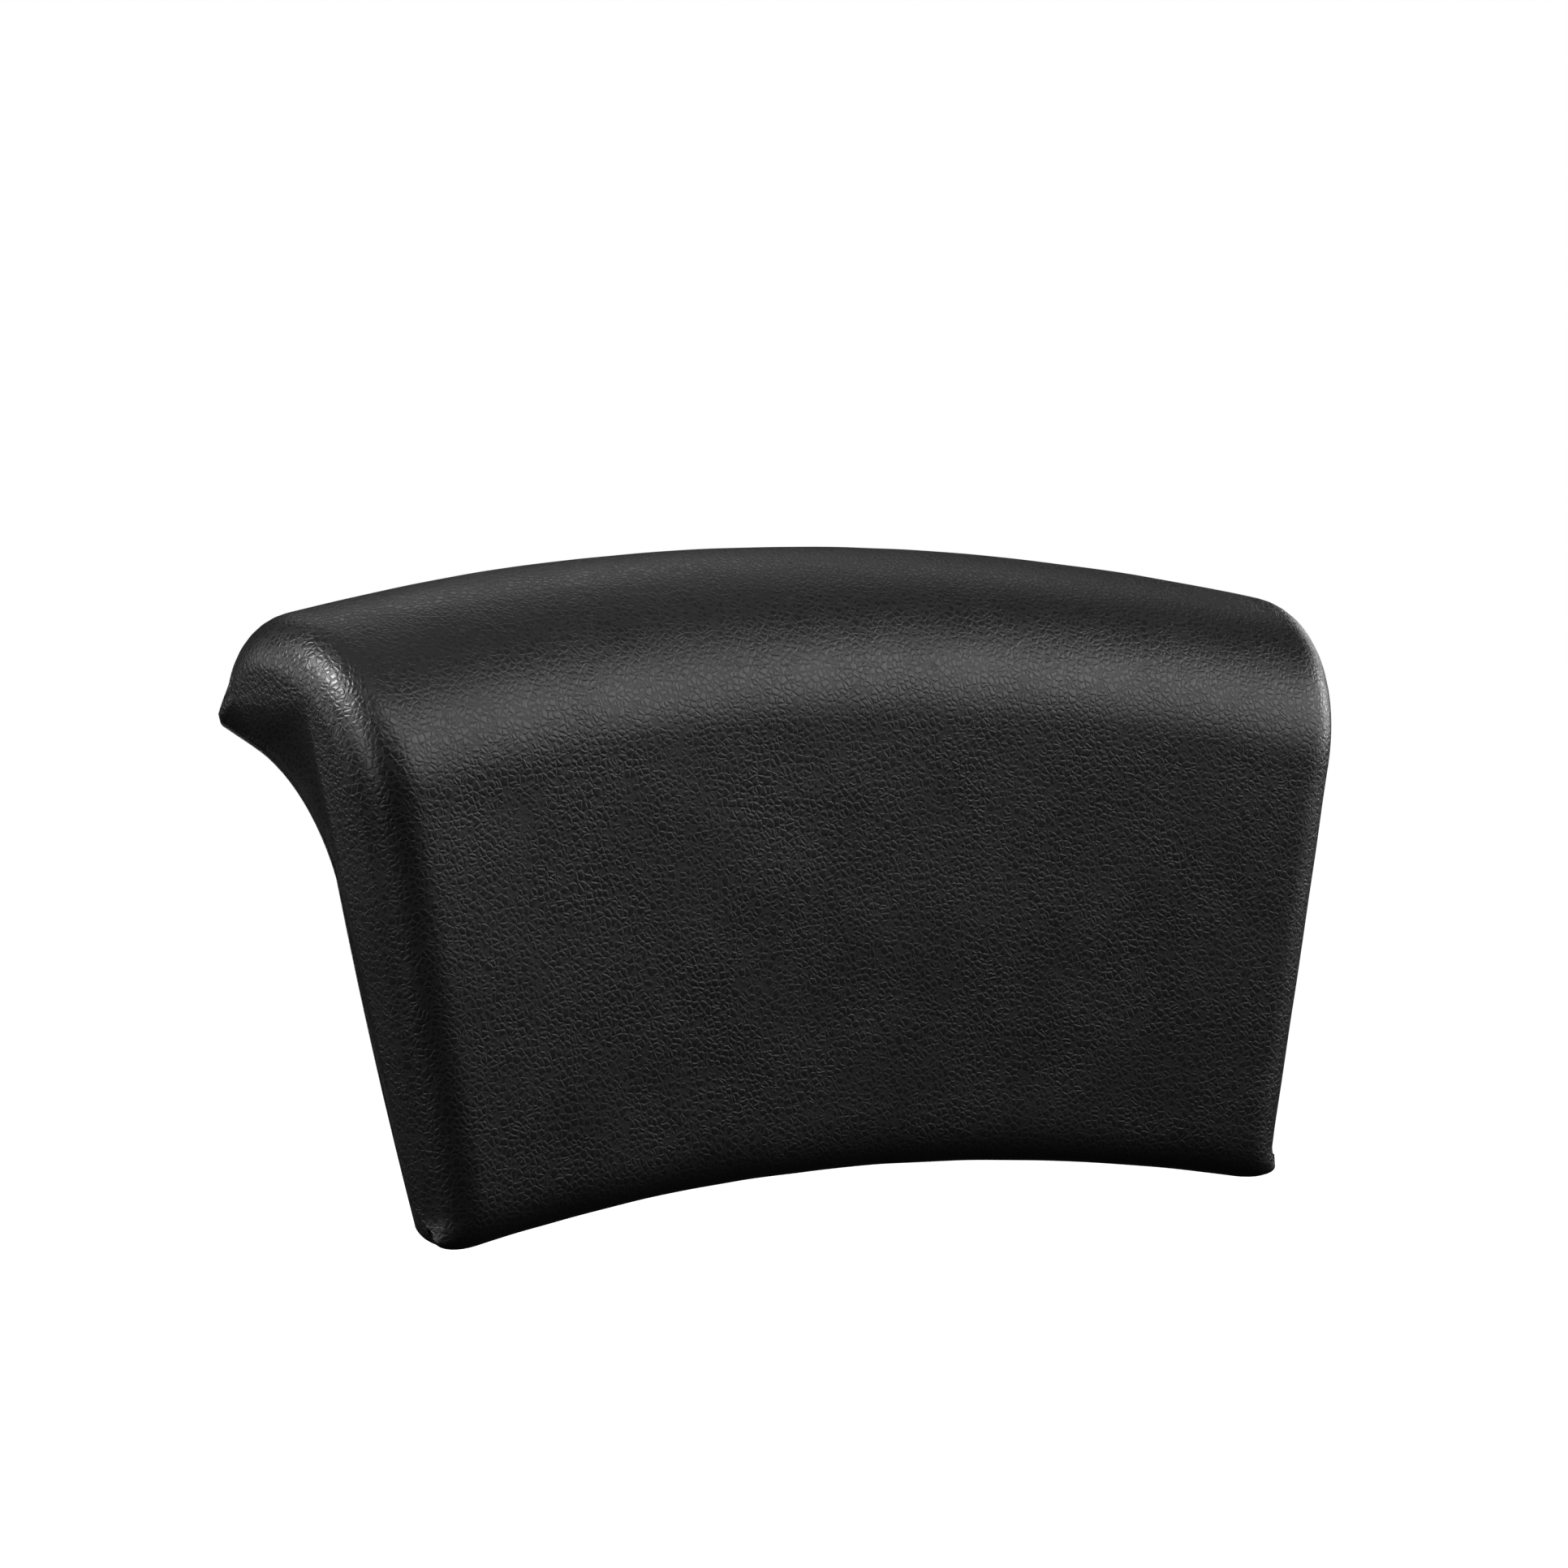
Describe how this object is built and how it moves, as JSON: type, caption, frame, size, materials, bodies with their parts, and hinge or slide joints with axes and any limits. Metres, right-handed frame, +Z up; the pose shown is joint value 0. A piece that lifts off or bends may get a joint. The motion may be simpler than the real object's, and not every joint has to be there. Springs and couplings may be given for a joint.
{
  "type": "chair headrest pad",
  "caption": "Moulded foam headrest pad with a grained skin and a rolled top whose lip hooks over a chair's top rail; bolts on from behind.",
  "frame": {"origin": "centre of the four mounting holes, on the plane of their boss faces", "axes": "+X across the width, to the right as seen by someone facing the pad's front; -Y towards the sitter; +Z up"},
  "size_m": [0.3104, 0.0797, 0.1686],
  "materials": {
    "skin": "satin, moulded leather grain",
    "foam": "matt, cellular",
    "shell": "fine satin",
    "armature": "pickled and oiled",
    "wire": "drawn",
    "insert": "zinc plated",
    "screw": "black zinc",
    "strip": "matt, ribbed"
  },
  "bodies": {
    "root": {"grained_skin": "skin", "foam_core": "foam", "rear_shell": "shell", "armature_plate": "armature", "lip_rib_left": "armature", "lip_rib_centre": "armature", "lip_rib_right": "armature", "edge_wire_left": "wire", "edge_wire_right": "wire", "mount_inserts": "insert", "shell_screws": "screw", "saddle_strip": "strip"}
  },
  "joints": []
}
